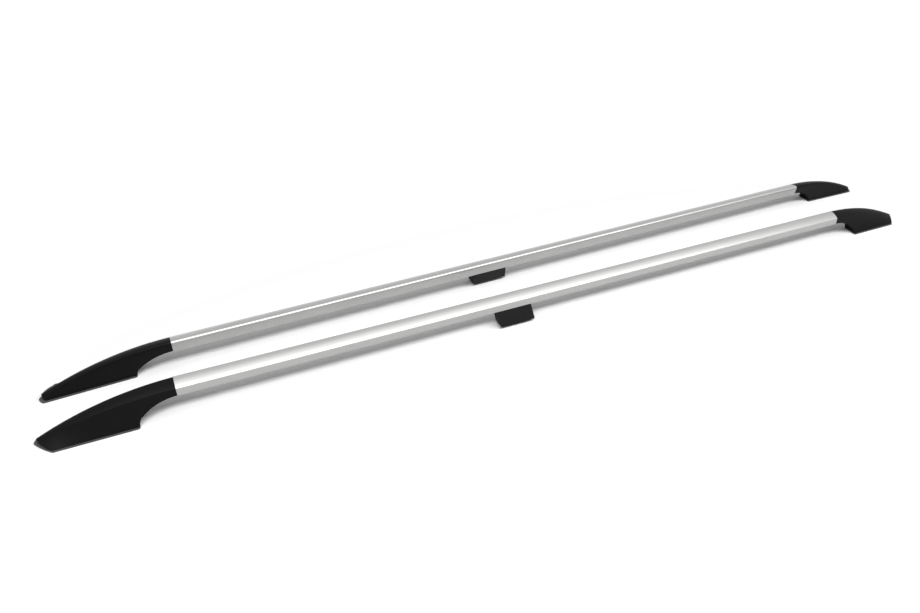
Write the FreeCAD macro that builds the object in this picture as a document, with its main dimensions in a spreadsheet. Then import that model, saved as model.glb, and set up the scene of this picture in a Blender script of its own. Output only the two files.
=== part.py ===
import FreeCAD, Part
import os

import Sketcher

# A pair of roof side rails: each rail is an extruded tube that ends in two moulded feet and is
# held near its middle by a bracket. Lengths are in millimetres, angles in degrees.
#
# Every piece is drawn once, as a pattern in the frame of one rail, and then placed. In that frame
# X runs from the front foot to the rear foot, with 0 where the straight outer edge of the front
# foot ends at its nose. Y runs from the outer edge of the feet towards the other rail, and Z is up
# from the surface that the feet stand on.

SIZES = (
    ("rail_span", 2100, "front nose corner to rear nose corner of one rail"),
    ("rail_spacing", 210, "outer edge to outer edge of the pair, at mid length"),
    ("rail_toe_angle", 1.34, "angle between the two rails as they lie, open towards the rear"),
    ("rail_stagger", 8.6, "how far the right rail lies behind the left one"),
    ("tube_end", 217, "nose corner to the end of the tube"),
    ("tube_wall", 2, "wall of the tube"),
    ("tube_floor", 43, "height of the tube's flat underside"),
    ("tube_foot_y", 14.9, "outer lower corner of the tube"),
    ("tube_heel_y", 44.2, "inner lower corner of the tube"),
    ("ridge_y", 16, "ridge along the outer side of the tube"),
    ("ridge_z", 59.3, "height of the ridge"),
    ("inner_y", 46, "inner side of the tube at its shoulder"),
    ("crown_z", 67.4, "top of the tube"),
    ("shoulder_r", 5, "round shoulder between the crown and the inner side"),
    ("crown_bow", 2, "how far the crown bows above a straight line"),
    ("heel_x", 144, "nose corner to the heel of the foot"),
    ("heel_slant", 4, "how far the heel leans towards the tube at its top"),
    ("heel_rise", 15.8, "height of the heel before the arch begins"),
    ("nose_reach", 28.2, "how far the tip of the nose stands ahead of its corner"),
    ("nose_y", 33, "place of the tip across the foot"),
    ("nose_back_x", 21.5, "inner corner of the nose ahead of the outer one"),
    ("nose_bow", 1.6, "bow of the two edges that meet at the tip"),
    ("nose_setback", 6, "how far the moulding's nose stands back from the edge of its gasket"),
    ("base_width", 41.2, "width of the base at the heel"),
    ("base_flare", 5, "how much wider the base is at the nose than at the heel"),
    ("nose_crown_z", 7, "height to which the top of the foot falls at the tip"),
    ("nose_ridge_z", 8.1, "height to which its ridge falls there"),
    ("ridge_drift", 14, "how far the ridge moves inwards from the tube to the tip"),
    ("inner_drift", 6.5, "how far the inner side moves outwards over the same length"),
    ("flank_bow", 3.4, "hollow of the flank where it meets the tube"),
    ("flank_bow_tip", 0.4, "hollow of the flank at the tip"),
    ("neck_inset", 0.4, "step from the tube's skin down to the neck of the foot"),
    ("foot_wall", 3, "wall of the foot and of its ribs"),
    ("neck_solid", 16, "solid end of the neck, which carries the spigot"),
    ("nose_solid", 14, "solid tip of the nose"),
    ("front_rib_reach", 38, "roof bolt of the foot to the cross rib ahead of it"),
    ("rear_rib_reach", 34, "roof bolt of the foot to the cross rib behind it"),
    ("gasket_height", 3, "thickness of the gasket under the foot"),
    ("gasket_lip", 2, "how far the gasket stands out round the foot"),
    ("gasket_corner_r", 5, "rounded heel corners of the gasket"),
    ("spigot_length", 46, "length of the spigot inside the tube"),
    ("spigot_gap", 0.25, "clearance between the spigot and the bore of the tube"),
    ("spigot_wall", 2.2, "wall of the spigot"),
    ("spigot_screw_x", 20, "tube end to the spigot screw under the tube"),
    ("spigot_screw_y", 29.6, "place of the spigot screws across the tube"),
    ("spigot_screw_r", 1.9, "shank of a spigot screw"),
    ("spigot_screw_length", 10, "length of a spigot screw under its head"),
    ("spigot_head_r", 3.8, "head of a spigot screw"),
    ("spigot_head_height", 2.2, "height of that head"),
    ("bolt_x", 72, "nose corner to the roof bolt of the foot"),
    ("bolt_y", 24, "place of that bolt across the foot"),
    ("bolt_core_r", 2.5, "core of the M6 thread for the roof bolts"),
    ("bolt_way_r", 3.6, "hole in the gasket round the roof bolt"),
    ("insert_r", 5, "outside of the threaded inserts"),
    ("insert_length", 12, "length of the threaded inserts"),
    ("boss_wall", 3.2, "plastic round an insert"),
    ("bracket_x", 915, "nose corner to the middle of the bracket, at the tube"),
    ("bracket_lean_x", 6, "how far the bracket's base lies behind its top"),
    ("bracket_length", 84, "length of the bracket"),
    ("bracket_lift", 8, "height of the bracket's base above the feet"),
    ("bracket_base_y", 3, "outer edge of the bracket's base"),
    ("bracket_base_width", 29.5, "width of the bracket's base"),
    ("bracket_corner_r", 2, "rounded upright edges of the bracket"),
    ("bracket_wall", 4, "wall of the bracket"),
    ("bracket_seat", 10, "solid top of the bracket, which its screws clamp"),
    ("bracket_screw_pitch", 56, "distance between the bracket's two screws"),
    ("bracket_screw_y", 23.5, "place of those screws across the tube"),
    ("bracket_bolt_y", 18, "place of the bracket's roof bolt across the tube"),
    ("bracket_screw_r", 2.4, "shank of a bracket screw"),
    ("bracket_head_r", 4.4, "head of a bracket screw"),
    ("bracket_head_height", 3.2, "height of that head"),
    ("rivet_nut_r", 3.5, "barrel of a rivet nut"),
    ("rivet_nut_collar_r", 5.2, "collar of a rivet nut inside the tube"),
    ("rivet_nut_collar_height", 2.4, "height of that collar"),
    ("rivet_nut_length", 11, "length of a rivet nut"),
    ("screw_gap", 0.15, "clearance round a screw or a nut in its hole"),
    ("origin_x", 0, "middle of the pair along X, worked out once it is built"),
    ("origin_y", 0, "middle of the pair along Y, worked out once it is built"),
)

# Shares of the foot's length, from the tube to the tip, at which its sections are drawn.
HULL_SHARES = (0, 0.25, 0.5, 0.75, 1)
CORE_SHARES = (0, 0.35, 0.7, 1)
# Angles at which the shoulder of the foot bends, between its level top and its upright side.
SHOULDER_BENDS = (30, 60)
# Extra length of a cutting tool, so that it runs clear of what it cuts, and of one that has
# little room beyond.
OVERRUN = 8
SKIM = 1
# Along a line that meets an upright wall at the ridge, the inset corner drops by this share.
RIDGE_DROP = 0.52

doc = FreeCAD.newDocument("roof_side_rails")
sheet = doc.addObject("Spreadsheet::Sheet", "Sizes")
for row, (alias, value, note) in enumerate(SIZES, start=1):
    sheet.set(f"A{row}", note)
    sheet.set(f"B{row}", str(value))
    sheet.setAlias(f"B{row}", alias)
doc.recompute()


def cell(alias):
    """The expression that reads one driving dimension."""
    return f"Sizes.{alias}"


def bind(thing, **expressions):
    """Ties properties of a document object to expressions; a double underscore is a dot."""
    for path, expression in expressions.items():
        thing.setExpression(path.replace("__", "."), expression)
    return thing


def body(name):
    """A body whose base planes carry its own sketches."""
    return doc.addObject("PartDesign::Body", name)


def sketch_in(owner, role, name, offset="0"):
    """A sketch on one of the body's base planes, moved along that plane's normal."""
    sketch = owner.newObject("Sketcher::SketchObject", name)
    plane = next(item for item in owner.Origin.OriginFeatures if item.Role == role)
    sketch.AttachmentSupport = [(plane, "")]
    sketch.MapMode = "FlatFace"
    bind(sketch, AttachmentOffset__Base__z=offset)
    doc.recompute()
    return sketch


def bow_radius(start, end, bow):
    """The radius of an arc between two corners that stands off their chord by bow."""
    chord = f"((({start[0]})-({end[0]}))^2+(({start[1]})-({end[1]}))^2)"
    return f"({chord}/4+({bow})^2)/(2*({bow}))"


def draw(sketch, corners, arcs=None, tag="c"):
    """Draws a closed outline. Each corner is a pair of expressions, and arcs maps the number of
    a corner to the radius of the arc that leaves it and the side on which it stands off, 1 on
    the left of the way it runs and -1 on the right."""
    arcs = arcs or {}
    points = []
    for across, up in corners:
        x = float(sketch.evalExpression(across))
        y = float(sketch.evalExpression(up))
        points.append(FreeCAD.Vector(x, y, 0))
    ends = []
    for number, start in enumerate(points):
        end = points[(number + 1) % len(points)]
        if number in arcs:
            radius = float(sketch.evalExpression(arcs[number][0]))
            chord = end - start
            reach = (radius ** 2 - chord.Length ** 2 / 4) ** 0.5
            left = FreeCAD.Vector(-chord.y, chord.x, 0).normalize()
            middle = (start + end) * 0.5 + left * (radius - reach) * arcs[number][1]
            # A sketch keeps every arc anticlockwise, so one that bows to the left runs backwards.
            if arcs[number][1] > 0:
                edge = sketch.addGeometry(Part.Arc(end, middle, start), False)
                ends.append((edge, 2, 1))
            else:
                edge = sketch.addGeometry(Part.Arc(start, middle, end), False)
                ends.append((edge, 1, 2))
        else:
            edge = sketch.addGeometry(Part.LineSegment(start, end), False)
            ends.append((edge, 1, 2))
    for number, (edge, first, last) in enumerate(ends):
        following = ends[(number + 1) % len(ends)]
        sketch.addConstraint(Sketcher.Constraint("Coincident", edge, last, following[0], following[1]))
        place = points[number]
        for axis, kind, amount in (("x", "DistanceX", place.x), ("y", "DistanceY", place.y)):
            index = sketch.addConstraint(Sketcher.Constraint(kind, -1, 1, edge, first, amount))
            name = f"{tag}{number}{axis}"
            sketch.renameConstraint(index, name)
            sketch.setExpression(f"Constraints.{name}", corners[number][0 if axis == "x" else 1])
        if number in arcs:
            radius = float(sketch.evalExpression(arcs[number][0]))
            index = sketch.addConstraint(Sketcher.Constraint("Radius", edge, radius))
            sketch.renameConstraint(index, f"{tag}{number}r")
            sketch.setExpression(f"Constraints.{tag}{number}r", arcs[number][0])


def pad(owner, sketch, length, name):
    """Extrudes a sketch along its normal."""
    feature = owner.newObject("PartDesign::Pad", name)
    feature.Profile = sketch
    bind(feature, Length=length)
    doc.recompute()
    return feature


def loft(owner, sketches, name):
    """A smooth solid through a row of sections."""
    feature = owner.newObject("PartDesign::AdditiveLoft", name)
    feature.Profile = sketches[0]
    feature.Sections = sketches[1:]
    doc.recompute()
    return feature


def box(name, x, y, z, length, width, height):
    """A block by its lowest corner."""
    block = doc.addObject("Part::Box", name)
    bind(block, Length=length, Width=width, Height=height)
    return bind(block, Placement__Base__x=x, Placement__Base__y=y, Placement__Base__z=z)


def upright(name, x, y, z, radius, height):
    """A round bar along Z by the middle of its lower end."""
    bar = doc.addObject("Part::Cylinder", name)
    bind(bar, Radius=radius, Height=height)
    return bind(bar, Placement__Base__x=x, Placement__Base__y=y, Placement__Base__z=z)


def fuse(name, *pieces):
    """Several pieces as one shape."""
    union = doc.addObject("Part::MultiFuse", name)
    union.Shapes = list(pieces)
    return union


def common(name, *pieces):
    """What several pieces share."""
    shared = doc.addObject("Part::MultiCommon", name)
    shared.Shapes = list(pieces)
    return shared


def cut(name, base, tool):
    """A base with a tool taken away."""
    remainder = doc.addObject("Part::Cut", name)
    remainder.Base = base
    remainder.Tool = tool
    return remainder


def tube_corners(inset):
    """Corners and arcs of the tube's section, drawn inside its skin by inset."""
    crown_y = f"{cell('inner_y')}-{cell('shoulder_r')}"
    outer_floor = (f"{cell('tube_foot_y')}+({inset})", f"{cell('tube_floor')}+({inset})")
    ridge = (f"{cell('ridge_y')}+({inset})", f"{cell('ridge_z')}-({inset})*{RIDGE_DROP}")
    crown = (crown_y, f"{cell('crown_z')}-({inset})")
    shoulder = (f"{cell('inner_y')}-({inset})", f"{cell('crown_z')}-{cell('shoulder_r')}")
    inner_floor = (f"{cell('tube_heel_y')}-({inset})", f"{cell('tube_floor')}+({inset})")
    corners = (outer_floor, ridge, crown, shoulder, inner_floor)
    arcs = {
        1: (bow_radius(ridge, crown, cell("crown_bow")), 1),
        2: (f"{cell('shoulder_r')}-({inset})", 1),
    }
    return corners, arcs


def fallen(height, tip_height, distance):
    """The height of a line that leaves the tube level and falls along an arc to the tip."""
    drop = f"(({height})-({tip_height}))"
    reach = f"({cell('tube_end')}+{cell('nose_reach')})"
    radius = f"(({reach}^2+{drop}^2)/(2*{drop}))"
    return f"(({height})-({radius}-sqrt({radius}^2-({distance})^2)))"


def foot_section(distance, share, inset, floor, rounded):
    """Corners and arcs of the foot's section at a distance from the tube, towards the nose."""
    ridge_z = fallen(cell("ridge_z"), cell("nose_ridge_z"), distance)
    crown_z = fallen(cell("crown_z"), cell("nose_crown_z"), distance)
    ridge_y = f"({cell('ridge_y')}+{cell('ridge_drift')}*({share})^2)"
    inner_y = f"({cell('inner_y')}-{cell('inner_drift')}*({share}))"
    shoulder_r = f"({cell('shoulder_r')}*(1-0.6*({share})))"
    flare = f"{cell('base_flare')}*(({distance})-{cell('tube_end')}+{cell('heel_x')})"
    base_length = f"({cell('heel_x')}+{cell('nose_reach')})"
    base_y = f"({cell('base_width')}-{cell('gasket_lip')}+{flare}/{base_length})"
    outer_floor = (f"{cell('gasket_lip')}+({inset})", floor)
    ridge = (f"{ridge_y}+({inset})", f"{ridge_z}-({inset})*{RIDGE_DROP}")
    crown = (f"{inner_y}-{shoulder_r}-({inset})", f"{crown_z}-({inset})")
    shoulder = (f"{inner_y}-({inset})", f"{crown_z}-{shoulder_r}-({inset})")
    inner_floor = (f"{base_y}-({inset})", floor)
    flank_bow = f"({cell('flank_bow_tip')}+{cell('flank_bow')}*(1-({share}))^2)"
    arcs = {0: (bow_radius(outer_floor, ridge, flank_bow), -1)}
    if not rounded:
        return (outer_floor, ridge, crown, shoulder, inner_floor), arcs
    arcs[1] = (bow_radius(ridge, crown, cell("crown_bow")), 1)
    bends = tuple(
        (f"{crown[0]}+{shoulder_r}*sin({angle}deg)", f"{shoulder[1]}+{shoulder_r}*cos({angle}deg)")
        for angle in SHOULDER_BENDS
    )
    return (outer_floor, ridge, crown) + bends + (shoulder, inner_floor), arcs


def arch_corners(inset):
    """Corners and arc of the space under the neck of the foot, drawn larger by inset."""
    heel_x = f"{cell('heel_x')}-{cell('gasket_lip')}-({inset})"
    spring_x = f"({cell('heel_x')}+{cell('heel_slant')}-({inset}))"
    spring_z = f"({cell('heel_rise')}+({inset})/2)"
    crown_z = f"({cell('tube_floor')}+({inset}))"
    reach = f"({cell('tube_end')}-{spring_x})"
    rise = f"({crown_z}-{spring_z})"
    corners = (
        (heel_x, f"-{OVERRUN}"),
        (heel_x, cell("gasket_height")),
        (spring_x, spring_z),
        (cell("tube_end"), crown_z),
        (f"{cell('tube_end')}+{OVERRUN}", crown_z),
        (f"{cell('tube_end')}+{OVERRUN}", f"-{OVERRUN}"),
    )
    return corners, {2: (f"({reach}^2+{rise}^2)/(2*{rise})", 1)}


def nose_corners(inset, setback):
    """The three corners of the nose, seen from above, inside the gasket's edge by inset at the
    sides and by setback at the front."""
    outer = ("0", inset)
    tip = (f"({setback})-{cell('nose_reach')}", cell("nose_y"))
    inner = (
        f"({setback})-{cell('nose_back_x')}",
        f"{cell('base_width')}+{cell('base_flare')}-({inset})",
    )
    return outer, tip, inner


def nose_arcs(corners, first):
    """The two bowed edges that meet at the tip, where first is the number of the outer corner."""
    outer, tip, inner = corners[first:first + 3]
    bow = cell("nose_bow")
    return {first: (bow_radius(outer, tip, bow), 1), first + 1: (bow_radius(tip, inner, bow), 1)}


def nose_trim(name, inset, setback):
    """An upright block whose front follows the nose, to trim the foot or its hollow."""
    block = body(f"{name}Body")
    sketch = sketch_in(block, "XY_Plane", f"{name}Outline", f"-{OVERRUN}")
    nose = nose_corners(inset, setback)
    rear = f"{cell('tube_end')}+{OVERRUN}"
    far_side = f"{cell('base_width')}+{cell('base_flare')}+{OVERRUN}"
    corners = ((rear, f"-{OVERRUN}"), ("0", f"-{OVERRUN}"))
    corners += nose + ((nose[2][0], far_side), (rear, far_side))
    draw(sketch, corners, nose_arcs(corners, 2))
    pad(block, sketch, f"{cell('crown_z')}+{2 * OVERRUN}", f"{name}Pad")
    return block


def arch_tool(name, inset):
    """A block that fills the space under the neck of the foot, across its whole width."""
    block = body(f"{name}Body")
    sketch = sketch_in(block, "XZ_Plane", f"{name}Outline")
    draw(sketch, *arch_corners(inset))
    feature = pad(block, sketch, f"4*{cell('base_width')}", f"{name}Pad")
    feature.Midplane = True
    doc.recompute()
    return block


def foot_loft(name, shares, start, stop, inset, floor, rounded):
    """A smooth solid through sections of the foot between two distances from the tube."""
    solid = body(f"{name}Body")
    sketches = []
    for number, share in enumerate(shares):
        distance = f"(({start})+(({stop})-({start}))*{share})"
        whole = f"(({distance})/({cell('tube_end')}+{cell('nose_reach')}))"
        offset = f"{cell('tube_end')}-{distance}"
        sketch = sketch_in(solid, "YZ_Plane", f"{name}Section{number}", offset)
        draw(sketch, *foot_section(distance, whole, inset, floor, rounded))
        sketches.append(sketch)
    loft(solid, sketches, f"{name}Loft")
    return solid


def bracket_section(owner, name, height, inset):
    """A rounded oblong section of the bracket at a height; the bracket leans as it rises."""
    drop = f"(({cell('tube_floor')}-({height}))/({cell('tube_floor')}-{cell('bracket_lift')}))"
    middle_x = f"({cell('bracket_x')}+{cell('bracket_lean_x')}*{drop})"
    lean_y = f"({cell('tube_foot_y')}-{cell('bracket_base_y')})"
    left = f"({middle_x}-{cell('bracket_length')}/2+({inset}))"
    right = f"({middle_x}+{cell('bracket_length')}/2-({inset}))"
    near = f"({cell('tube_foot_y')}-{lean_y}*{drop}+({inset}))"
    far = f"({near}+{cell('bracket_base_width')}-2*({inset}))"
    r = cell("bracket_corner_r")
    corners = (
        (f"{left}+{r}", near), (f"{right}-{r}", near), (right, f"{near}+{r}"), (right, f"{far}-{r}"),
        (f"{right}-{r}", far), (f"{left}+{r}", far), (left, f"{far}-{r}"), (left, f"{near}+{r}"),
    )
    sketch = sketch_in(owner, "XY_Plane", name, height)
    draw(sketch, corners, {number: (r, -1) for number in (1, 3, 5, 7)})
    return sketch


def screw(name, x, y, seat, shank_r, length, head_r, head_height):
    """A hex-headed screw whose head is under the seat and whose shank points up."""
    shank = upright(f"{name}Shank", x, y, seat, shank_r, length)
    head = doc.addObject("Part::Prism", f"{name}Head")
    head.Polygon = 6
    bind(head, Circumradius=head_r, Height=head_height)
    bind(head, Placement__Base__x=x, Placement__Base__y=y, Placement__Base__z=f"({seat})-({head_height})")
    return fuse(name, head, shank)


# The tube, with the holes in its underside for the rivet nuts and for the screws of both ends.
tube_body = body("TubeBody")
tube_sketch = sketch_in(tube_body, "YZ_Plane", "TubeSection", cell("tube_end"))
draw(tube_sketch, *tube_corners("0"))
draw(tube_sketch, *tube_corners(cell("tube_wall")), tag="bore")
pad(tube_body, tube_sketch, f"{cell('rail_span')}-2*{cell('tube_end')}", "TubeExtrusion")

screw_places = {
    "Root": f"({cell('tube_end')}-{cell('neck_solid')}/2)",
    "Tube": f"({cell('tube_end')}+{cell('spigot_screw_x')})",
}
nut_places = {
    "Front": f"({cell('bracket_x')}-{cell('bracket_screw_pitch')}/2)",
    "Rear": f"({cell('bracket_x')}+{cell('bracket_screw_pitch')}/2)",
}
below_floor = f"({cell('tube_floor')}-{SKIM})"
floor_cut = f"({cell('tube_wall')}+{2 * SKIM})"
screw_hole_r = f"({cell('spigot_screw_r')}+{cell('screw_gap')})"
drills = [
    upright(f"TubeDrill{end}", x, cell("spigot_screw_y"), below_floor, screw_hole_r, floor_cut)
    for end, x in (
        ("Front", screw_places["Tube"]),
        ("Rear", f"{cell('rail_span')}-{screw_places['Tube']}"),
    )
]
for end, place in nut_places.items():
    drill_r = f"{cell('rivet_nut_r')}+{cell('screw_gap')}"
    drills.append(upright(f"NutDrill{end}", place, cell("bracket_screw_y"), below_floor, drill_r, floor_cut))
tube = cut("Tube", tube_body, fuse("TubeDrills", *drills))

# The spigot joins foot and tube: half of it sits in the neck of the foot, half in the tube.
spigot_root = f"({cell('neck_solid')}-2)"
spigot_skin = f"({cell('tube_wall')}+{cell('spigot_gap')})"
spigot_body = body("SpigotBody")
spigot_start = f"{cell('tube_end')}-{spigot_root}+{cell('spigot_gap')}"
spigot_sketch = sketch_in(spigot_body, "YZ_Plane", "SpigotSection", spigot_start)
draw(spigot_sketch, *tube_corners(spigot_skin))
draw(spigot_sketch, *tube_corners(f"({spigot_skin}+{cell('spigot_wall')})"), tag="bore")
spigot_reach = f"{spigot_root}-{cell('spigot_gap')}+{cell('spigot_length')}"
pad(spigot_body, spigot_sketch, spigot_reach, "SpigotExtrusion")
spigot_cut = f"({cell('tube_wall')}+{cell('spigot_wall')}+{3 * SKIM})"
spigot_drills = [
    upright(f"SpigotDrill{place}", x, cell("spigot_screw_y"), below_floor, screw_hole_r, spigot_cut)
    for place, x in screw_places.items()
]
spigot = cut("Spigot", spigot_body, fuse("SpigotDrills", *spigot_drills))

# The foot: a lofted hull, trimmed to the nose, with the space under its neck taken away.
base = cell("gasket_height")
whole_length = f"({cell('tube_end')}+{cell('nose_reach')})"
hull = foot_loft("Hull", HULL_SHARES, "0", whole_length, cell("neck_inset"), base, rounded=True)
trimmed = common("TrimmedHull", hull, nose_trim("NoseTrim", cell("gasket_lip"), cell("nose_setback")))
outer = cut("FootOuter", trimmed, arch_tool("Arch", "0"))

# Its hollow is open below and leaves a wall, a boss for the insert and ribs.
wall = cell("foot_wall")
core = foot_loft("Core", CORE_SHARES, cell("neck_solid"), f"{whole_length}-{cell('nose_solid')}",
                 f"({cell('neck_inset')}+{wall})", f"({base}-{SKIM})", rounded=False)
core_trimmed = common("TrimmedCore", core, nose_trim("CoreTrim", f"({cell('gasket_lip')}+{wall})",
                                                     f"({cell('nose_setback')}+{wall})"))
core_open = cut("CoreOverArch", core_trimmed, arch_tool("ArchWall", wall))
boss_r = f"({cell('insert_r')}+{cell('boss_wall')})"
boss = upright("FootBoss", cell("bolt_x"), cell("bolt_y"), "0", boss_r, cell("crown_z"))
long_rib = box("LongRib", f"-{cell('nose_reach')}", f"{cell('bolt_y')}-{wall}/2", "0",
               whole_length, wall, cell("crown_z"))
cross_ribs = [
    box(f"CrossRib{number}", f"{cell('bolt_x')}+({offset})-{wall}/2", "0", "0",
        wall, f"2*{cell('base_width')}", cell("crown_z"))
    for number, offset in enumerate((f"-{cell('front_rib_reach')}", "0", cell("rear_rib_reach")))
]
core_tool = cut("FootHollow", core_open, fuse("FootRibs", boss, long_rib, *cross_ribs))

socket_body = body("SocketBody")
socket_sketch = sketch_in(socket_body, "YZ_Plane", "SocketSection", f"{cell('tube_end')}-{spigot_root}")
draw(socket_sketch, *tube_corners(cell("tube_wall")))
pad(socket_body, socket_sketch, f"{spigot_root}+{OVERRUN}", "SocketExtrusion")
insert_hole = upright("InsertHole", cell("bolt_x"), cell("bolt_y"), f"{base}-{SKIM}",
                      cell("insert_r"), f"{cell('insert_length')}+{SKIM}")
root_hole = upright("RootScrewHole", screw_places["Root"], cell("spigot_screw_y"), below_floor,
                    screw_hole_r, floor_cut)
root_seat = upright("RootScrewSeat", screw_places["Root"], cell("spigot_screw_y"),
                    f"{cell('tube_floor')}-{OVERRUN}", f"{cell('spigot_head_r')}+{cell('screw_gap')}",
                    f"{OVERRUN}")
foot = cut("Foot", outer, fuse("FootCuts", core_tool, socket_body, insert_hole, root_hole, root_seat))

# The gasket follows the base of the foot and stands out round it.
gasket_body = body("GasketBody")
gasket_sketch = sketch_in(gasket_body, "XY_Plane", "GasketOutline")
gasket_r = cell("gasket_corner_r")
heel_line = f"{cell('heel_x')}-{gasket_r}"
gasket_corners = ((cell("heel_x"), gasket_r), (heel_line, "0")) + nose_corners("0", "0") + (
    (heel_line, cell("base_width")),
    (cell("heel_x"), f"{cell('base_width')}-{gasket_r}"),
)
gasket_arcs = nose_arcs(gasket_corners, 2) | {0: (gasket_r, 1), 5: (gasket_r, 1)}
draw(gasket_sketch, gasket_corners, gasket_arcs)
pad(gasket_body, gasket_sketch, base, "GasketSheet")
bolt_way = upright("BoltWay", cell("bolt_x"), cell("bolt_y"), f"-{SKIM}",
                   cell("bolt_way_r"), f"{base}+{2 * SKIM}")
gasket = cut("Gasket", gasket_body, bolt_way)


def thread_insert(name, x, y, z):
    """A metal sleeve, threaded for a roof bolt, with its mouth at the given height."""
    blank = upright(f"{name}Blank", x, y, z, cell("insert_r"), cell("insert_length"))
    way = upright(f"{name}Way", x, y, f"({z})-{SKIM}",
                  cell("bolt_core_r"), f"{cell('insert_length')}+{2 * SKIM}")
    return cut(name, blank, way)


foot_insert = thread_insert("FootInsert", cell("bolt_x"), cell("bolt_y"), base)
spigot_screws = fuse("SpigotScrews", *[
    screw(f"SpigotScrew{place}", x, cell("spigot_screw_y"), cell("tube_floor"), cell("spigot_screw_r"),
          cell("spigot_screw_length"), cell("spigot_head_r"), cell("spigot_head_height"))
    for place, x in screw_places.items()
])

# The bracket: a leaning hollow block under the tube, open below, with a seat for its two screws.
lift = cell("bracket_lift")
seat_z = f"({cell('tube_floor')}-{cell('bracket_seat')})"
bracket_block = body("BracketBody")
loft(bracket_block, [
    bracket_section(bracket_block, "BracketBase", lift, "0"),
    bracket_section(bracket_block, "BracketTop", cell("tube_floor"), "0"),
], "BracketLoft")
bracket_core = body("BracketCoreBody")
loft(bracket_core, [
    bracket_section(bracket_core, "BracketCoreBase", f"({lift}-{SKIM})", cell("bracket_wall")),
    bracket_section(bracket_core, "BracketCoreTop", seat_z, cell("bracket_wall")),
], "BracketCoreLoft")
bracket_bolt_x = f"({cell('bracket_x')}+{cell('bracket_lean_x')})"
bracket_boss = upright("BracketBoss", bracket_bolt_x, cell("bracket_bolt_y"), "0", boss_r, cell("tube_floor"))
bracket_hollow = cut("BracketHollow", bracket_core, bracket_boss)
bracket_hole = upright("BracketInsertHole", bracket_bolt_x, cell("bracket_bolt_y"), f"{lift}-{SKIM}",
                       cell("insert_r"), f"{cell('insert_length')}+{SKIM}")
bracket_cuts = [bracket_hollow, bracket_hole]
for end, place in nut_places.items():
    bracket_cuts.append(upright(f"BracketDrill{end}", place, cell("bracket_screw_y"), f"{seat_z}-{SKIM}",
                                f"{cell('bracket_screw_r')}+{cell('screw_gap')}",
                                f"{cell('bracket_seat')}+{2 * SKIM}"))
bracket = cut("Bracket", bracket_block, fuse("BracketCuts", *bracket_cuts))
bracket_insert = thread_insert("BracketInsert", bracket_bolt_x, cell("bracket_bolt_y"), lift)
bracket_screws = fuse("BracketScrews", *[
    screw(f"BracketScrew{end}", place, cell("bracket_screw_y"), seat_z, cell("bracket_screw_r"),
          f"({cell('bracket_seat')}+{cell('rivet_nut_length')}-{SKIM})", cell("bracket_head_r"),
          cell("bracket_head_height"))
    for end, place in nut_places.items()
])


def rivet_nut(end, x):
    """A rivet nut, whose barrel fills its hole and whose collar rests on the tube's floor."""
    barrel = upright(f"NutBarrel{end}", x, cell("bracket_screw_y"), cell("tube_floor"),
                     cell("rivet_nut_r"), cell("rivet_nut_length"))
    collar_z = f"({cell('tube_floor')}+{cell('tube_wall')})"
    collar = upright(f"NutCollar{end}", x, cell("bracket_screw_y"), collar_z,
                     cell("rivet_nut_collar_r"), cell("rivet_nut_collar_height"))
    way = upright(f"NutWay{end}", x, cell("bracket_screw_y"), below_floor,
                  f"{cell('bracket_screw_r')}+{cell('screw_gap')}", f"{cell('rivet_nut_length')}+{2 * SKIM}")
    return cut(f"RivetNut{end}", fuse(f"NutBlank{end}", barrel, collar), way)


rivet_nuts = fuse("RivetNuts", *[rivet_nut(end, place) for end, place in nut_places.items()])

FRONT = {
    "foot": foot,
    "gasket": gasket,
    "spigot": spigot,
    "spigot_screws": spigot_screws,
    "thread_insert": foot_insert,
}
MIDDLE = {
    "rail_tube": tube,
    "centre_bracket": bracket,
    "bracket_insert": bracket_insert,
    "bracket_screws": bracket_screws,
    "rivet_nuts": rivet_nuts,
}
doc.recompute()


def mirrored(name, source, normal, base):
    """The mirror image of a source in a plane through base."""
    image = doc.addObject("Part::Mirroring", name)
    image.Source = source
    image.Normal = normal
    bind(image, Base__x=base)
    return image


def placed(node, source, side):
    """The final object of one node; the right rail is turned by the toe angle and moved."""
    final = doc.addObject("Part::Compound", node)
    half = f"{cell('rail_span')}/2"
    if side == "left":
        final.Links = [source]
        bind(final, Placement__Base__x=f"-{cell('origin_x')}")
        return bind(final, Placement__Base__y=f"-{cell('origin_y')}")
    final.Links = [mirrored(f"{node}_image", source, FreeCAD.Vector(0, 1, 0), "0")]
    final.Placement.Rotation.Axis = FreeCAD.Vector(0, 0, 1)
    toe = cell("rail_toe_angle")
    bind(final, Placement__Rotation__Angle=toe)
    bind(final, Placement__Base__x=f"{half}*(1-cos({toe}*1deg))+{cell('rail_stagger')}-{cell('origin_x')}")
    return bind(final, Placement__Base__y=f"{cell('rail_spacing')}-{half}*sin({toe}*1deg)-{cell('origin_y')}")


nodes = {}
for side in ("left", "right"):
    for name, source in MIDDLE.items():
        nodes[f"{side}_{name}"] = placed(f"{side}_{name}", source, side)
    for name, source in FRONT.items():
        rear = doc.getObject(f"Rear_{name}")
        if rear is None:
            rear = mirrored(f"Rear_{name}", source, FreeCAD.Vector(1, 0, 0), f"{cell('rail_span')}/2")
        nodes[f"{side}_front_{name}"] = placed(f"{side}_front_{name}", source, side)
        nodes[f"{side}_rear_{name}"] = placed(f"{side}_rear_{name}", rear, side)
doc.recompute()

# The middle of the pair's base becomes the origin of the part.
extent = Part.makeCompound([item.Shape for item in nodes.values()]).optimalBoundingBox(False)
for alias, middle in (("origin_x", extent.Center.x), ("origin_y", extent.Center.y)):
    place = sheet.getCellFromAlias(alias)
    sheet.set(place, str(round(middle, 4)))
doc.recompute()

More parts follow.
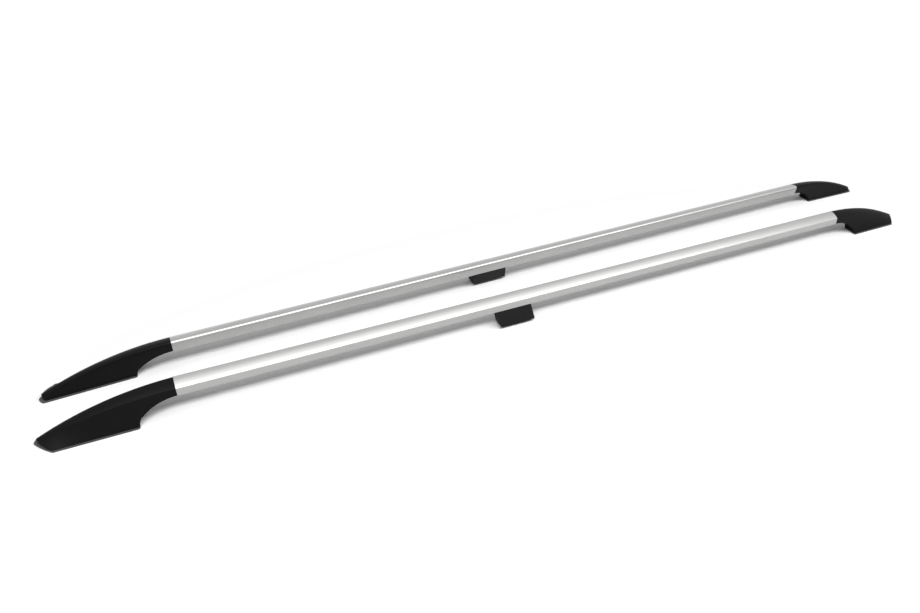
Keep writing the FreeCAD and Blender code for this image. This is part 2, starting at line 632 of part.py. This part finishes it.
os.makedirs("parts", exist_ok=True)
for item in doc.Objects:
    if "Invalid" in item.State or "Error" in item.State:
        raise RuntimeError(f"{item.Name} did not compute")
for node, item in nodes.items():
    if item.Shape.isNull() or not item.Shape.isValid():
        raise RuntimeError(f"{node} has no sound shape")
    item.Shape.exportStep(f"parts/{node}.step")
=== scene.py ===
"""Studio scene of a pair of roof side rails: drawn tubes on moulded feet, with a bracket each."""
import math

import bmesh
import bpy
from mathutils import Matrix, Vector


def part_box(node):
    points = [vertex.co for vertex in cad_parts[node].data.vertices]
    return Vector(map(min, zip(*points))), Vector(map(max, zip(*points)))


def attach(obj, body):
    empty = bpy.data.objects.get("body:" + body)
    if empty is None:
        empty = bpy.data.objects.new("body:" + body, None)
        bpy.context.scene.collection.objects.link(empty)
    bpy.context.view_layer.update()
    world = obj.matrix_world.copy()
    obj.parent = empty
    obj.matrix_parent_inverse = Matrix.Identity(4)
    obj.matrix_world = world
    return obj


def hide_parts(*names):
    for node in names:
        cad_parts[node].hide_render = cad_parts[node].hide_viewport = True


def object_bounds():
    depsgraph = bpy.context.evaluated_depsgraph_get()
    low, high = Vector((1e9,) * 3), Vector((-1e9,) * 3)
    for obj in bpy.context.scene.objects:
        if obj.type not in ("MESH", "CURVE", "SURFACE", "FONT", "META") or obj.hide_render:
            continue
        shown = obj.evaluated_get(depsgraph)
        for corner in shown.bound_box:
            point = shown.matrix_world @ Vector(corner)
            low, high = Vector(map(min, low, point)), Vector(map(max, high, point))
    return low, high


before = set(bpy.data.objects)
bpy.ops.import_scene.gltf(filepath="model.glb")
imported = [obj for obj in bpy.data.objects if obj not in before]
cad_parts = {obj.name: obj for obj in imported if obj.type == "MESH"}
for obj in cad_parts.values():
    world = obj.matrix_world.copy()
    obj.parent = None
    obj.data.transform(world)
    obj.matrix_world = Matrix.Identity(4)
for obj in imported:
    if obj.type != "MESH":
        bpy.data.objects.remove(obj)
CAD_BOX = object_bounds()

bl_info = {
    "name": "Roof Side Rails",
    "version": (1, 0, 0),
    "blender": (4, 5, 0),
    "location": "View3D > Sidebar > Roof Rails",
    "description": "Finishes and fasteners for a pair of roof side rails, with a studio stage",
    "category": "Object",
}

MM = 0.001
SIDES = ("left", "right")
ENDS = ("front", "rear")
FOOT_NODES = tuple(f"{side}_{end}_foot" for side in SIDES for end in ENDS)
GASKET_NODES = tuple(f"{side}_{end}_gasket" for side in SIDES for end in ENDS)
SPIGOT_NODES = tuple(f"{side}_{end}_spigot" for side in SIDES for end in ENDS)
TUBE_NODES = tuple(f"{side}_rail_tube" for side in SIDES)
BRACKET_NODES = tuple(f"{side}_centre_bracket" for side in SIDES)
NUT_NODES = tuple(f"{side}_rivet_nuts" for side in SIDES)
INSERT_NODES = tuple(f"{side}_{end}_thread_insert" for side in SIDES for end in ENDS)
INSERT_NODES += tuple(f"{side}_bracket_insert" for side in SIDES)
SPIGOT_SCREW_NODES = tuple(f"{side}_{end}_spigot_screws" for side in SIDES for end in ENDS)
BRACKET_SCREW_NODES = tuple(f"{side}_bracket_screws" for side in SIDES)

# Sizes of the fasteners, in millimetres. A screw has the radius and height of its head, the radius of
# its shank and the pitch of its thread.
SPIGOT_SCREW = (3.8, 2.2, 1.9, 0.8)
BRACKET_SCREW = (4.4, 3.2, 2.4, 0.9)
INSERT_THREAD_R = 3.0
INSERT_THREAD_DEPTH = 0.5
INSERT_BEVEL = 0.4

# The stage, in metres and degrees.
FLOOR_REACH = 30.0
LAMP_HEIGHT = 2.45
LAMP_LENGTH = 5.0
KEY_LAMP_Y = -1.35
KEY_LAMP_WIDTH = 0.8
TOP_LAMP_Y = 0.05
TOP_LAMP_WIDTH = 1.6
CAMERA_PLACE = (-0.7981, -1.2996, 1.0897)
CAMERA_TURN = -29.2
CAMERA_TIP = 36.3
CAMERA_LEAN = 4.1
CAMERA_SHIFT = (-0.0648, -0.0153)

# The floor looks white by itself away from the rails. One is an oval round them, wider by these margins,
# and the glow grows from one share of that oval to the other.
GLOW_MARGINS = (0.5, 0.35)
GLOW_SPAN = (0.66, 1.25)
GLOW_STRENGTHS = (0.02, 1.0)


class TubeFinish(bpy.types.PropertyGroup):
    """Anodised finish of the drawn tubes."""

    colour: bpy.props.FloatVectorProperty(
        name="Colour", description="Colour of the anodised metal", subtype="COLOR", size=3,
        min=0.0, max=1.0, default=(0.41, 0.41, 0.405))
    roughness: bpy.props.FloatProperty(
        name="Roughness", description="How matt the anodised skin is", subtype="FACTOR",
        min=0.0, max=1.0, default=0.38)
    line_depth: bpy.props.FloatProperty(
        name="Drawing lines", description="Strength of the fine lines along the tube", subtype="FACTOR",
        min=0.0, max=1.0, default=0.10)


class PlasticFinish(bpy.types.PropertyGroup):
    """Grained black plastic of the feet and brackets."""

    foot_colour: bpy.props.FloatVectorProperty(
        name="Foot colour", description="Colour of the feet", subtype="COLOR", size=3,
        min=0.0, max=1.0, default=(0.0045, 0.0045, 0.0047))
    bracket_colour: bpy.props.FloatVectorProperty(
        name="Bracket colour", description="Colour of the brackets", subtype="COLOR", size=3,
        min=0.0, max=1.0, default=(0.013, 0.013, 0.0134))
    sheen: bpy.props.FloatProperty(
        name="Sheen", description="How strongly the plastic reflects", subtype="FACTOR",
        min=0.0, max=1.0, default=0.065)
    roughness: bpy.props.FloatProperty(
        name="Roughness", description="How matt the plastic is", subtype="FACTOR",
        min=0.0, max=1.0, default=0.48)
    grain_size: bpy.props.FloatProperty(
        name="Grain size", description="Size of the moulded grain", subtype="DISTANCE", unit="LENGTH",
        min=0.0001, max=0.01, default=0.0009)
    edge_radius: bpy.props.FloatProperty(
        name="Edge radius", description="How round the moulded edges look", subtype="DISTANCE",
        unit="LENGTH", min=0.0, max=0.01, default=0.0016)


class RubberFinish(bpy.types.PropertyGroup):
    """Dull rubber of the gaskets."""

    colour: bpy.props.FloatVectorProperty(
        name="Colour", description="Colour of the gaskets", subtype="COLOR", size=3,
        min=0.0, max=1.0, default=(0.04, 0.04, 0.0408))


class FastenerShape(bpy.types.PropertyGroup):
    """Shape of the screws and threaded inserts."""

    thread_pitch: bpy.props.FloatProperty(
        name="Thread pitch", description="Distance between two turns of a thread", subtype="DISTANCE",
        unit="LENGTH", min=0.0004, max=0.003, default=0.001)
    colour: bpy.props.FloatVectorProperty(
        name="Colour", description="Colour of the zinc plating", subtype="COLOR", size=3,
        min=0.0, max=1.0, default=(0.55, 0.56, 0.57))


class StageLook(bpy.types.PropertyGroup):
    """Floor, light and camera."""

    floor_colour: bpy.props.FloatVectorProperty(
        name="Floor colour", description="Colour of the floor", subtype="COLOR", size=3,
        min=0.0, max=1.0, default=(0.95, 0.95, 0.95))
    sky_strength: bpy.props.FloatProperty(
        name="Room light", description="Strength of the light from all round",
        min=0.0, max=5.0, default=0.04)
    key_power: bpy.props.FloatProperty(
        name="Key light", description="Power of the long soft light in front of the rails", subtype="POWER",
        unit="POWER", min=0.0, max=2000.0, default=112.0)
    top_power: bpy.props.FloatProperty(
        name="Top light", description="Power of the wide light over the rails", subtype="POWER",
        unit="POWER", min=0.0, max=2000.0, default=23.0)
    focal_length: bpy.props.FloatProperty(
        name="Focal length", description="Focal length of the camera in millimetres", min=10.0, max=200.0,
        default=30.55)


def settings():
    """The sizes and colours that a user may change."""
    return bpy.context.scene.roof_rails


def new_group(name, inputs, outputs):
    """An empty shader group with named sockets, and its two end nodes."""
    group = bpy.data.node_groups.new(name, "ShaderNodeTree")
    for label, kind, value in inputs:
        socket = group.interface.new_socket(name=label, in_out="INPUT", socket_type=kind)
        if value is not None:
            socket.default_value = value
    for label, kind in outputs:
        group.interface.new_socket(name=label, in_out="OUTPUT", socket_type=kind)
    return group, group.nodes.new("NodeGroupInput"), group.nodes.new("NodeGroupOutput")


def moulded_grain_group():
    """Fine pebbled grain of a textured mould: a height, and a mask of slightly polished tops."""
    name = "Moulded Grain"
    if name in bpy.data.node_groups:
        return bpy.data.node_groups[name]
    group, source, sink = new_group(
        name,
        (("Size", "NodeSocketFloat", 0.001), ("Unevenness", "NodeSocketFloat", 0.3)),
        (("Height", "NodeSocketFloat"), ("Polish", "NodeSocketFloat")),
    )
    nodes, links = group.nodes, group.links
    place = nodes.new("ShaderNodeTexCoord")
    pitch = nodes.new("ShaderNodeMath")
    pitch.operation = "DIVIDE"
    pitch.inputs[0].default_value = 1.0
    links.new(source.outputs["Size"], pitch.inputs[1])
    pebbles = nodes.new("ShaderNodeTexVoronoi")
    pebbles.feature = "SMOOTH_F1"
    pebbles.inputs["Smoothness"].default_value = 0.6
    links.new(place.outputs["Object"], pebbles.inputs["Vector"])
    links.new(pitch.outputs[0], pebbles.inputs["Scale"])
    clouds = nodes.new("ShaderNodeTexNoise")
    clouds.inputs["Scale"].default_value = 26.0
    clouds.inputs["Detail"].default_value = 5.0
    links.new(place.outputs["Object"], clouds.inputs["Vector"])
    links.new(pebbles.outputs["Distance"], sink.inputs["Height"])
    spread = nodes.new("ShaderNodeMath")
    spread.operation = "MULTIPLY"
    links.new(clouds.outputs["Fac"], spread.inputs[0])
    links.new(source.outputs["Unevenness"], spread.inputs[1])
    links.new(spread.outputs[0], sink.inputs["Polish"])
    return group


def drawn_lines_group():
    """Fine lines along the length of a drawn tube, with the faint cloudiness of anodising."""
    name = "Drawn Lines"
    if name in bpy.data.node_groups:
        return bpy.data.node_groups[name]
    group, source, sink = new_group(
        name,
        (("Fineness", "NodeSocketFloat", 900.0), ("Cloud Scale", "NodeSocketFloat", 9.0)),
        (("Lines", "NodeSocketFloat"), ("Clouds", "NodeSocketFloat")),
    )
    nodes, links = group.nodes, group.links
    place = nodes.new("ShaderNodeTexCoord")
    stretch = nodes.new("ShaderNodeMapping")
    stretch.inputs["Scale"].default_value = (0.006, 1.0, 1.0)
    links.new(place.outputs["Object"], stretch.inputs["Vector"])
    lines = nodes.new("ShaderNodeTexNoise")
    lines.inputs["Detail"].default_value = 3.0
    links.new(stretch.outputs["Vector"], lines.inputs["Vector"])
    links.new(source.outputs["Fineness"], lines.inputs["Scale"])
    clouds = nodes.new("ShaderNodeTexNoise")
    clouds.inputs["Detail"].default_value = 6.0
    clouds.inputs["Roughness"].default_value = 0.65
    links.new(place.outputs["Object"], clouds.inputs["Vector"])
    links.new(source.outputs["Cloud Scale"], clouds.inputs["Scale"])
    links.new(lines.outputs["Fac"], sink.inputs["Lines"])
    links.new(clouds.outputs["Fac"], sink.inputs["Clouds"])
    return group


def new_material(name):
    """A material with its Principled shader, and the tree's nodes and links."""
    material = bpy.data.materials.new(name)
    material.use_nodes = True
    nodes, links = material.node_tree.nodes, material.node_tree.links
    return material, nodes, links, nodes["Principled BSDF"]


def place_group(nodes, group, **values):
    """One use of a shader group, with its own values; underscores stand for spaces."""
    node = nodes.new("ShaderNodeGroup")
    node.node_tree = group
    for label, value in values.items():
        node.inputs[label.replace("_", " ")].default_value = value
    return node


def ramp(nodes, links, source, low, high):
    """Maps a value from 0 to 1 onto a range."""
    node = nodes.new("ShaderNodeMapRange")
    node.inputs["To Min"].default_value = low
    node.inputs["To Max"].default_value = high
    links.new(source, node.inputs["Value"])
    return node.outputs["Result"]


def tint(nodes, links, factor, dark, light):
    """A colour between two tints."""
    node = nodes.new("ShaderNodeMix")
    node.data_type = "RGBA"
    node.inputs["A"].default_value = (*dark, 1.0)
    node.inputs["B"].default_value = (*light, 1.0)
    links.new(factor, node.inputs["Factor"])
    return node.outputs["Result"]


def shade(colour, share):
    """A colour made lighter or darker by a share."""
    return tuple(min(1.0, part * share) for part in colour)


def add_bump(nodes, links, height, shader, strength, distance, edge_radius=0.0):
    """Feeds a height into the shader's normal, over rounded edges where a radius is given."""
    bump = nodes.new("ShaderNodeBump")
    bump.inputs["Strength"].default_value = strength
    bump.inputs["Distance"].default_value = distance
    links.new(height, bump.inputs["Height"])
    links.new(bump.outputs["Normal"], shader.inputs["Normal"])
    if edge_radius > 0.0:
        rounding = nodes.new("ShaderNodeBevel")
        rounding.samples = 6
        rounding.inputs["Radius"].default_value = edge_radius
        links.new(rounding.outputs["Normal"], bump.inputs["Normal"])


def anodised_material(look):
    """Satin anodised aluminium with fine lines along the tube."""
    material, nodes, links, shader = new_material("Anodised Aluminium")
    effect = place_group(nodes, drawn_lines_group(), Fineness=1500.0, Cloud_Scale=14.0)
    dark, light = shade(look.colour, 0.93), shade(look.colour, 1.06)
    colour = tint(nodes, links, effect.outputs["Clouds"], dark, light)
    links.new(colour, shader.inputs["Base Color"])
    matt = ramp(nodes, links, effect.outputs["Lines"], look.roughness - 0.05, look.roughness + 0.07)
    links.new(matt, shader.inputs["Roughness"])
    shader.inputs["Metallic"].default_value = 1.0
    add_bump(nodes, links, effect.outputs["Lines"], shader, look.line_depth, 0.0001)
    return material


def plastic_material(name, colour, look, polish):
    """Grained moulded plastic."""
    material, nodes, links, shader = new_material(name)
    effect = place_group(nodes, moulded_grain_group(), Size=look.grain_size, Unevenness=0.6)
    dark, light = shade(colour, 0.8), shade(colour, 1.5)
    links.new(tint(nodes, links, effect.outputs["Polish"], dark, light), shader.inputs["Base Color"])
    matt = ramp(nodes, links, effect.outputs["Polish"], look.roughness + polish, look.roughness - 0.10)
    links.new(matt, shader.inputs["Roughness"])
    shader.inputs["Specular IOR Level"].default_value = look.sheen
    add_bump(nodes, links, effect.outputs["Height"], shader, 0.22, 0.0001, look.edge_radius)
    return material


def rubber_material(look):
    """Dull black rubber with a faint bloom."""
    material, nodes, links, shader = new_material("Gasket Rubber")
    effect = place_group(nodes, moulded_grain_group(), Size=0.0006, Unevenness=0.9)
    dark, light = shade(look.colour, 0.8), shade(look.colour, 1.7)
    links.new(tint(nodes, links, effect.outputs["Polish"], dark, light), shader.inputs["Base Color"])
    links.new(ramp(nodes, links, effect.outputs["Polish"], 0.72, 0.55), shader.inputs["Roughness"])
    add_bump(nodes, links, effect.outputs["Height"], shader, 0.15, 0.0001)
    return material


def cast_material():
    """Dull grey casting of the spigots."""
    material, nodes, links, shader = new_material("Cast Spigot")
    effect = place_group(nodes, moulded_grain_group(), Size=0.0014, Unevenness=0.8)
    links.new(tint(nodes, links, effect.outputs["Polish"], (0.36, 0.36, 0.37), (0.52, 0.52, 0.53)),
              shader.inputs["Base Color"])
    links.new(ramp(nodes, links, effect.outputs["Polish"], 0.62, 0.42), shader.inputs["Roughness"])
    shader.inputs["Metallic"].default_value = 1.0
    add_bump(nodes, links, effect.outputs["Height"], shader, 0.35, 0.0002)
    return material


def zinc_material(look):
    """Bright zinc plating with the fine marks of turning."""
    material, nodes, links, shader = new_material("Zinc Plating")
    effect = place_group(nodes, drawn_lines_group(), Fineness=2600.0, Cloud_Scale=160.0)
    dark, light = shade(look.colour, 0.85), shade(look.colour, 1.15)
    links.new(tint(nodes, links, effect.outputs["Clouds"], dark, light), shader.inputs["Base Color"])
    links.new(ramp(nodes, links, effect.outputs["Lines"], 0.22, 0.38), shader.inputs["Roughness"])
    shader.inputs["Metallic"].default_value = 1.0
    return material


def dress(names, material):
    """Gives CAD nodes a material."""
    for name in names:
        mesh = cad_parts[name].data
        mesh.materials.clear()
        mesh.materials.append(material)


def ring(mesh, centre, radius, height, count=24):
    """One level ring of points."""
    points = []
    for step in range(count):
        turn = 2.0 * math.pi * step / count
        offset = Vector((math.cos(turn) * radius, math.sin(turn) * radius, height))
        points.append(mesh.verts.new(centre + offset))
    return points


def skin(mesh, lower, upper):
    """A band of faces between two rings."""
    count = len(lower)
    for step in range(count):
        other = (step + 1) % count
        mesh.faces.new((lower[step], lower[other], upper[other], upper[step]))


def lathe(mesh, centre, profile, count=24):
    """Turns a closed profile of radius and height about an upright axis."""
    rings = [ring(mesh, centre, radius, height, count) for radius, height in profile]
    for step, lower in enumerate(rings):
        skin(mesh, lower, rings[(step + 1) % len(rings)])


def thread(mesh, centre, radius, depth, start, stop, pitch, inward, steps=20):
    """A helical ridge on a round wall, from one height to another."""
    turns = (stop - start) / pitch - 1.0
    total = max(steps, int(turns * steps))
    reach = -depth if inward else depth
    last = None
    for step in range(total + 1):
        angle = 2.0 * math.pi * turns * step / total
        rise = start + pitch * (0.5 + turns * step / total)
        taper = min(1.0, step / steps, (total - step) / steps)
        way = Vector((math.cos(angle), math.sin(angle), 0.0))
        root = radius - 0.15 * reach
        corners = [
            mesh.verts.new(centre + way * root + Vector((0.0, 0.0, rise - 0.42 * pitch))),
            mesh.verts.new(centre + way * (root + reach * (0.15 + taper)) + Vector((0.0, 0.0, rise))),
            mesh.verts.new(centre + way * root + Vector((0.0, 0.0, rise + 0.42 * pitch))),
        ]
        if last is not None:
            for here in range(3):
                there = (here + 1) % 3
                mesh.faces.new((last[here], corners[here], corners[there], last[there]))
        else:
            mesh.faces.new(corners)
        last = corners
    mesh.faces.new(tuple(reversed(last)))


def as_object(mesh, name, material):
    """Turns a bmesh into a piece of the part."""
    bmesh.ops.recalc_face_normals(mesh, faces=mesh.faces[:])
    data = bpy.data.meshes.new(name)
    mesh.to_mesh(data)
    mesh.free()
    for face in data.polygons:
        face.use_smooth = True
    data.set_sharp_from_angle(angle=math.radians(35.0))
    data.materials.append(material)
    piece = bpy.data.objects.new(name, data)
    bpy.context.collection.objects.link(piece)
    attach(piece, "root")
    return piece


def screw_centres(node):
    """The upright axes of the screws in one node, worked out from its separate shells."""
    source = bmesh.new()
    source.from_mesh(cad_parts[node].data)
    bmesh.ops.remove_doubles(source, verts=source.verts[:], dist=0.00001)
    left = set(source.verts)
    axes = []
    while left:
        shell, edge = set(), [left.pop()]
        while edge:
            vert = edge.pop()
            shell.add(vert)
            for link in vert.link_edges:
                other = link.other_vert(vert)
                if other in left:
                    left.remove(other)
                    edge.append(other)
        points = [vert.co for vert in shell]
        low = Vector([min(point[axis] for point in points) for axis in range(3)])
        high = Vector([max(point[axis] for point in points) for axis in range(3)])
        axes.append((Vector(((low.x + high.x) / 2.0, (low.y + high.y) / 2.0, 0.0)), low.z, high.z))
    source.free()
    return sorted(axes, key=lambda axis: axis[0].x)


def hex_screw(mesh, centre, low, high, head_r, head_height, shank_r, pitch):
    """A hex-headed screw with a threaded shank that tapers at its end."""
    root_r = shank_r * 0.9
    bevel = head_height * 0.12
    head = [
        ring(mesh, centre, radius, height, 6)
        for radius, height in (
            (head_r * 0.9, low), (head_r, low + bevel), (head_r, low + head_height),
        )
    ]
    shank = [
        ring(mesh, centre, radius, height)
        for radius, height in (
            (root_r, low + head_height * 0.9), (root_r, high - shank_r * 0.6), (shank_r * 0.45, high),
        )
    ]
    for rings in (head, shank):
        for lower, upper in zip(rings, rings[1:]):
            skin(mesh, lower, upper)
        mesh.faces.new(rings[0])
        mesh.faces.new(rings[-1])
    thread(mesh, centre, root_r, shank_r * 0.1, low + head_height * 1.1, high - shank_r * 0.5, pitch, False)


def direct_view(nodes, links):
    """1 where the camera, a reflection or glass looks, and 0 for the light that falls on things."""
    path = nodes.new("ShaderNodeLightPath")
    seen = path.outputs["Is Camera Ray"]
    for kind in ("Is Glossy Ray", "Is Transmission Ray"):
        either = nodes.new("ShaderNodeMath")
        either.operation = "MAXIMUM"
        links.new(seen, either.inputs[0])
        links.new(path.outputs[kind], either.inputs[1])
        seen = either.outputs[0]
    return seen


class TubeOperator(bpy.types.Operator):
    """Gives both tubes their anodised finish"""

    bl_idname = "roof_rails.tubes"
    bl_label = "Finish Tubes"

    def execute(self, context):
        dress(TUBE_NODES, anodised_material(settings().tube))
        return {"FINISHED"}


class FootOperator(bpy.types.Operator):
    """Gives the four moulded feet their grained black plastic"""

    bl_idname = "roof_rails.feet"
    bl_label = "Finish Feet"

    def execute(self, context):
        look = settings().plastic
        dress(FOOT_NODES, plastic_material("Foot Plastic", look.foot_colour, look, 0.04))
        return {"FINISHED"}


class BracketOperator(bpy.types.Operator):
    """Gives both brackets their grained black plastic"""

    bl_idname = "roof_rails.brackets"
    bl_label = "Finish Brackets"

    def execute(self, context):
        look = settings().plastic
        dress(BRACKET_NODES, plastic_material("Bracket Plastic", look.bracket_colour, look, 0.12))
        return {"FINISHED"}


class GasketOperator(bpy.types.Operator):
    """Gives the gaskets under the feet their rubber"""

    bl_idname = "roof_rails.gaskets"
    bl_label = "Finish Gaskets"

    def execute(self, context):
        dress(GASKET_NODES, rubber_material(settings().rubber))
        return {"FINISHED"}


class SpigotOperator(bpy.types.Operator):
    """Gives the spigots and the rivet nuts inside the tubes their metal"""

    bl_idname = "roof_rails.spigots"
    bl_label = "Finish Spigots and Nuts"

    def execute(self, context):
        dress(SPIGOT_NODES, cast_material())
        dress(NUT_NODES, zinc_material(settings().fasteners))
        return {"FINISHED"}


class InsertOperator(bpy.types.Operator):
    """Makes the threaded inserts that take the roof bolts"""

    bl_idname = "roof_rails.inserts"
    bl_label = "Make Threaded Inserts"

    def execute(self, context):
        material = zinc_material(settings().fasteners)
        pitch = settings().fasteners.thread_pitch
        for node in INSERT_NODES:
            low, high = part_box(node)
            centre = Vector(((low[0] + high[0]) / 2.0, (low[1] + high[1]) / 2.0, 0.0))
            outer_r = (high[0] - low[0]) / 2.0
            major_r = INSERT_THREAD_R * MM
            bevel = INSERT_BEVEL * MM
            mesh = bmesh.new()
            lathe(mesh, centre, [
                (major_r, low[2] + bevel), (major_r + bevel, low[2]), (outer_r - bevel, low[2]),
                (outer_r, low[2] + bevel), (outer_r, high[2] - bevel), (outer_r - bevel, high[2]),
                (major_r + bevel, high[2]), (major_r, high[2] - bevel)], 36)
            thread(mesh, centre, major_r, INSERT_THREAD_DEPTH * MM, low[2], high[2], pitch, True)
            piece = as_object(mesh, f"{node}_threaded", material)
            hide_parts(node)
        return {"FINISHED"}


class ScrewOperator(bpy.types.Operator):
    """Makes the screws of the spigots and the brackets, with their threads"""

    bl_idname = "roof_rails.screws"
    bl_label = "Make Screws"

    def execute(self, context):
        material = zinc_material(settings().fasteners)
        for nodes, shape in ((SPIGOT_SCREW_NODES, SPIGOT_SCREW), (BRACKET_SCREW_NODES, BRACKET_SCREW)):
            head_r, head_height, shank_r, pitch = (size * MM for size in shape)
            for node in nodes:
                mesh = bmesh.new()
                for centre, low, high in screw_centres(node):
                    hex_screw(mesh, centre, low, high, head_r, head_height, shank_r, pitch)
                piece = as_object(mesh, f"{node}_threaded", material)
                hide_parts(node)
        return {"FINISHED"}


class StageOperator(bpy.types.Operator):
    """Adds the pale floor, the soft lights and the camera"""

    bl_idname = "roof_rails.stage"
    bl_label = "Build Stage"

    def execute(self, context):
        look = settings().stage
        self.add_floor(look)
        self.add_room(look)
        self.add_lights(look)
        self.add_camera(look)
        context.scene.view_settings.view_transform = "Standard"
        return {"FINISHED"}

    def add_floor(self, look):
        """A wide level floor, which the camera and reflections see as white away from the rails."""
        data = bpy.data.meshes.new("Floor")
        corners = [(-1.0, -1.0), (1.0, -1.0), (1.0, 1.0), (-1.0, 1.0)]
        data.from_pydata([(x * FLOOR_REACH, y * FLOOR_REACH, 0.0) for x, y in corners], [], [(0, 1, 2, 3)])
        floor = bpy.data.objects.new("Floor", data)
        bpy.context.collection.objects.link(floor)
        material, nodes, links, shader = new_material("Studio Floor")
        shader.inputs["Base Color"].default_value = (*look.floor_colour, 1.0)
        shader.inputs["Roughness"].default_value = 0.9
        shader.inputs["Specular IOR Level"].default_value = 0.1
        shader.inputs["Emission Color"].default_value = (1.0, 1.0, 1.0, 1.0)
        place = nodes.new("ShaderNodeTexCoord")
        shrink = nodes.new("ShaderNodeMapping")
        oval = (CAD_BOX[1][0] + GLOW_MARGINS[0], CAD_BOX[1][1] + GLOW_MARGINS[1])
        shrink.inputs["Scale"].default_value = (1.0 / oval[0], 1.0 / oval[1], 1.0)
        links.new(place.outputs["Object"], shrink.inputs["Vector"])
        far = nodes.new("ShaderNodeVectorMath")
        far.operation = "LENGTH"
        links.new(shrink.outputs["Vector"], far.inputs[0])
        glow = nodes.new("ShaderNodeMapRange")
        glow.interpolation_type = "SMOOTHSTEP"
        glow.inputs["From Min"].default_value, glow.inputs["From Max"].default_value = GLOW_SPAN
        glow.inputs["To Min"].default_value, glow.inputs["To Max"].default_value = GLOW_STRENGTHS
        links.new(far.outputs["Value"], glow.inputs["Value"])
        shown = nodes.new("ShaderNodeMath")
        shown.operation = "MULTIPLY"
        links.new(glow.outputs["Result"], shown.inputs[0])
        links.new(direct_view(nodes, links), shown.inputs[1])
        links.new(shown.outputs[0], shader.inputs["Emission Strength"])
        data.materials.append(material)

    def add_room(self, look):
        """Weak even light from all round; the camera and all reflections see plain white."""
        world = bpy.data.worlds.new("Studio Room")
        bpy.context.scene.world = world
        world.use_nodes = True
        nodes, links = world.node_tree.nodes, world.node_tree.links
        back = nodes["Background"]
        back.inputs["Color"].default_value = (1.0, 1.0, 1.0, 1.0)
        links.new(ramp(nodes, links, direct_view(nodes, links), look.sky_strength, 1.0),
                  back.inputs["Strength"])

    def add_lights(self, look):
        """A long soft light in front of the rails, and a wider and weaker one over them."""
        for name, across, width, power in (
            ("Key Light", KEY_LAMP_Y, KEY_LAMP_WIDTH, look.key_power),
            ("Top Light", TOP_LAMP_Y, TOP_LAMP_WIDTH, look.top_power),
        ):
            data = bpy.data.lights.new(name, "AREA")
            data.shape = "RECTANGLE"
            data.size, data.size_y = LAMP_LENGTH, width
            data.energy = power
            lamp = bpy.data.objects.new(name, data)
            lamp.location = (0.0, across, LAMP_HEIGHT)
            lamp.rotation_euler = (-lamp.location).to_track_quat("-Z", "Y").to_euler()
            bpy.context.collection.objects.link(lamp)

    def add_camera(self, look):
        """The camera stands in front of the left rail's front half, and looks down along it."""
        data = bpy.data.cameras.new("Camera")
        data.sensor_width = 36.0
        data.lens = look.focal_length
        data.shift_x, data.shift_y = CAMERA_SHIFT
        data.clip_end = 100.0
        camera = bpy.data.objects.new("Camera", data)
        turn, tip, lean = (math.radians(angle) for angle in (CAMERA_TURN, CAMERA_TIP, CAMERA_LEAN))
        ahead = Vector((-math.sin(turn), math.cos(turn), 0.0))
        forward = ahead * math.cos(tip) - Vector((0.0, 0.0, math.sin(tip)))
        level = Vector((math.cos(turn), math.sin(turn), 0.0))
        upward = level.cross(forward)
        right = level * math.cos(lean) + upward * math.sin(lean)
        up = upward * math.cos(lean) - level * math.sin(lean)
        turned = Matrix((right, up, -forward)).transposed().to_4x4()
        camera.matrix_world = Matrix.Translation(CAMERA_PLACE) @ turned
        bpy.context.collection.objects.link(camera)
        bpy.context.scene.camera = camera


class RoofRailSettings(bpy.types.PropertyGroup):
    """All settings of the roof side rails."""

    tube: bpy.props.PointerProperty(
        type=TubeFinish, name="Tubes", description="Finish of the tubes")
    plastic: bpy.props.PointerProperty(
        type=PlasticFinish, name="Plastic", description="Finish of the plastic")
    rubber: bpy.props.PointerProperty(
        type=RubberFinish, name="Rubber", description="Finish of the gaskets")
    fasteners: bpy.props.PointerProperty(
        type=FastenerShape, name="Fasteners", description="Screws and inserts")
    stage: bpy.props.PointerProperty(
        type=StageLook, name="Stage", description="Floor, light and camera")


OPERATORS = (
    TubeOperator, FootOperator, BracketOperator, GasketOperator, SpigotOperator, InsertOperator,
    ScrewOperator, StageOperator,
)


class RoofRailPanel(bpy.types.Panel):
    """Lists the steps and settings of the roof side rails"""

    bl_idname = "VIEW3D_PT_roof_rails"
    bl_label = "Roof Side Rails"
    bl_space_type = "VIEW_3D"
    bl_region_type = "UI"
    bl_category = "Roof Rails"

    def draw(self, context):
        look = context.scene.roof_rails
        groups = (look.tube, look.plastic, look.rubber, look.fasteners, look.stage)
        for group in groups:
            box = self.layout.box()
            for name in group.__annotations__:
                box.prop(group, name)
        for operator in OPERATORS:
            self.layout.operator(operator.bl_idname)


CLASSES = (TubeFinish, PlasticFinish, RubberFinish, FastenerShape, StageLook, RoofRailSettings)
CLASSES += OPERATORS + (RoofRailPanel,)


def register():
    """Registers the classes and the scene's settings."""
    for item in CLASSES:
        bpy.utils.register_class(item)
    bpy.types.Scene.roof_rails = bpy.props.PointerProperty(type=RoofRailSettings)


def unregister():
    """Takes the classes and the scene's settings away again."""
    del bpy.types.Scene.roof_rails
    for item in reversed(CLASSES):
        bpy.utils.unregister_class(item)


def main():
    """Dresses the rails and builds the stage."""
    register()
    bpy.ops.roof_rails.tubes()
    bpy.ops.roof_rails.feet()
    bpy.ops.roof_rails.brackets()
    bpy.ops.roof_rails.gaskets()
    bpy.ops.roof_rails.spigots()
    bpy.ops.roof_rails.inserts()
    bpy.ops.roof_rails.screws()
    bpy.ops.roof_rails.stage()


if __name__ == "__main__":
    main()
